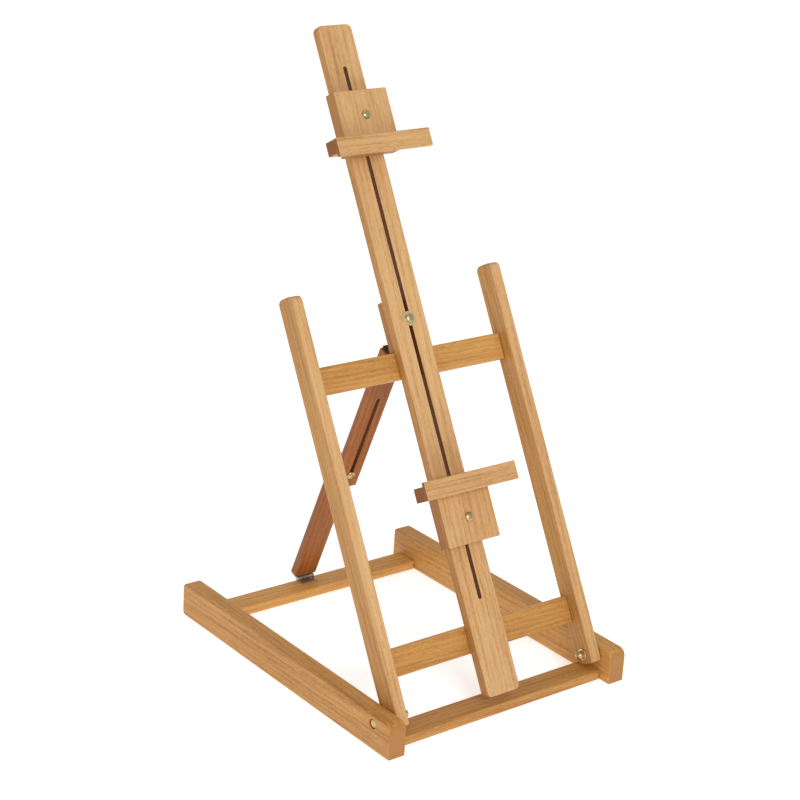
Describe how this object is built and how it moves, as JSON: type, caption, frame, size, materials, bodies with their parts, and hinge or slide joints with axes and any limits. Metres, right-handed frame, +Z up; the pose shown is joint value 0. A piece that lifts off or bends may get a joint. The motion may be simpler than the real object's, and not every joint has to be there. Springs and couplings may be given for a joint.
{
  "type": "tabletop_easel",
  "caption": "tabletop easel in oiled beech: flat base, tilting frame, slotted mast with canvas holders, and a telescopic rear strut held by brass wing nuts",
  "frame": {"origin": "on the table, under the middle of the base", "axes": "X to the right as seen from the front, Y from the front to the back, Z up"},
  "size_m": [0.31, 0.37, 0.6354],
  "materials": {
    "beech": "oiled beech, satin",
    "beech_pale": "oiled beech, paler straight grain",
    "brass_plate": "brass-plated, polished",
    "antique_brass": "dark antique brass"
  },
  "bodies": {
    "base": {"left_rail": "beech", "right_rail": "beech", "front_base_crossbar": "beech", "rear_base_crossbar": "beech", "left_pivot_bolt": "brass_plate", "right_pivot_bolt": "brass_plate", "left_pivot_washer": "brass_plate", "right_pivot_washer": "brass_plate", "left_pivot_cap_nut": "brass_plate", "right_pivot_cap_nut": "brass_plate", "foot_hinge_base_leaf": "antique_brass", "foot_hinge_base_leaf_left_screw": "antique_brass", "foot_hinge_base_leaf_right_screw": "antique_brass", "foot_hinge_pin": "antique_brass"},
    "frame": {"left_upright": "beech", "right_upright": "beech", "lower_frame_crossbar": "beech", "upper_frame_crossbar": "beech", "backing_block": "beech", "left_block_dowel": "beech_pale", "right_block_dowel": "beech_pale", "mast_bolt": "brass_plate", "mast_front_washer": "brass_plate", "mast_washer": "brass_plate", "top_hinge_frame_leaf": "antique_brass", "top_hinge_frame_leaf_left_screw": "antique_brass", "top_hinge_frame_leaf_right_screw": "antique_brass", "top_hinge_pin": "antique_brass"},
    "mast_board": {"mast": "beech_pale"},
    "upper_holder": {"upper_holder_block": "beech", "upper_ledge": "beech", "upper_lip": "beech", "upper_holder_bolt": "brass_plate", "upper_holder_washer": "brass_plate"},
    "lower_holder": {"lower_holder_block": "beech", "lower_ledge": "beech", "lower_lip": "beech", "lower_holder_bolt": "brass_plate", "lower_holder_washer": "brass_plate"},
    "lower_strut": {"strut_lower": "beech", "strut_bolt": "brass_plate", "strut_washer": "brass_plate", "foot_hinge_strut_leaf": "antique_brass", "foot_hinge_strut_leaf_left_screw": "antique_brass", "foot_hinge_strut_leaf_right_screw": "antique_brass"},
    "upper_strut": {"strut_upper": "beech", "top_hinge_strut_leaf": "antique_brass", "top_hinge_strut_leaf_left_screw": "antique_brass", "top_hinge_strut_leaf_right_screw": "antique_brass"},
    "mast_nut": {"mast_wing_nut": "brass_plate"},
    "upper_holder_nut": {"upper_holder_wing_nut": "brass_plate"},
    "lower_holder_nut": {"lower_holder_wing_nut": "brass_plate"},
    "strut_nut": {"strut_wing_nut": "brass_plate"}
  },
  "joints": [
    {"name": "frame_tilt", "type": "hinge", "parent": "base", "child": "frame", "pos_m": [0, -0.157, 0.027], "axis": [-1, 0, 0], "range_deg": [0, 18]},
    {"name": "strut_foot", "type": "hinge", "parent": "base", "child": "lower_strut", "pos_m": [-0.003, 0.17, 0.0133], "axis": [-1, 0, 0], "range_deg": [0, 11.6]},
    {"name": "strut_slide", "type": "slide", "parent": "lower_strut", "child": "upper_strut", "axis": [0, 0.3812, -0.9245], "range_m": [0, 0.0965]},
    {"name": "mast_slide", "type": "slide", "parent": "frame", "child": "mast_board", "axis": [0, 0.4848, 0.8746], "range_m": [0, 0.09]},
    {"name": "upper_holder_slide", "type": "slide", "parent": "mast_board", "child": "upper_holder", "axis": [0, 0.4848, 0.8746], "range_m": [-0.161, 0.053]},
    {"name": "lower_holder_slide", "type": "slide", "parent": "mast_board", "child": "lower_holder", "axis": [0, 0.4848, 0.8746], "range_m": [-0.08, 0.045]},
    {"name": "mast_nut_turn", "type": "hinge", "parent": "frame", "child": "mast_nut", "pos_m": [0.002, 0.04098, 0.35116], "axis": [0, 0.8746, -0.4848], "continuous": true},
    {"name": "upper_holder_nut_turn", "type": "hinge", "parent": "upper_holder", "child": "upper_holder_nut", "pos_m": [0.002, 0.13458, 0.54064], "axis": [0, 0.8746, -0.4848], "continuous": true},
    {"name": "lower_holder_nut_turn", "type": "hinge", "parent": "lower_holder", "child": "lower_holder_nut", "pos_m": [0.002, -0.06948, 0.17251], "axis": [0, 0.8746, -0.4848], "continuous": true},
    {"name": "strut_nut_turn", "type": "hinge", "parent": "lower_strut", "child": "strut_nut", "pos_m": [-0.003, 0.11983, 0.17433], "axis": [0, 0.9245, 0.3812], "continuous": true}
  ],
  "couplings": [
    {"joint": "strut_foot", "follows": "frame_tilt", "ratio": 0.633},
    {"joint": "strut_slide", "follows": "frame_tilt", "m_per_rad": 0.303}
  ]
}
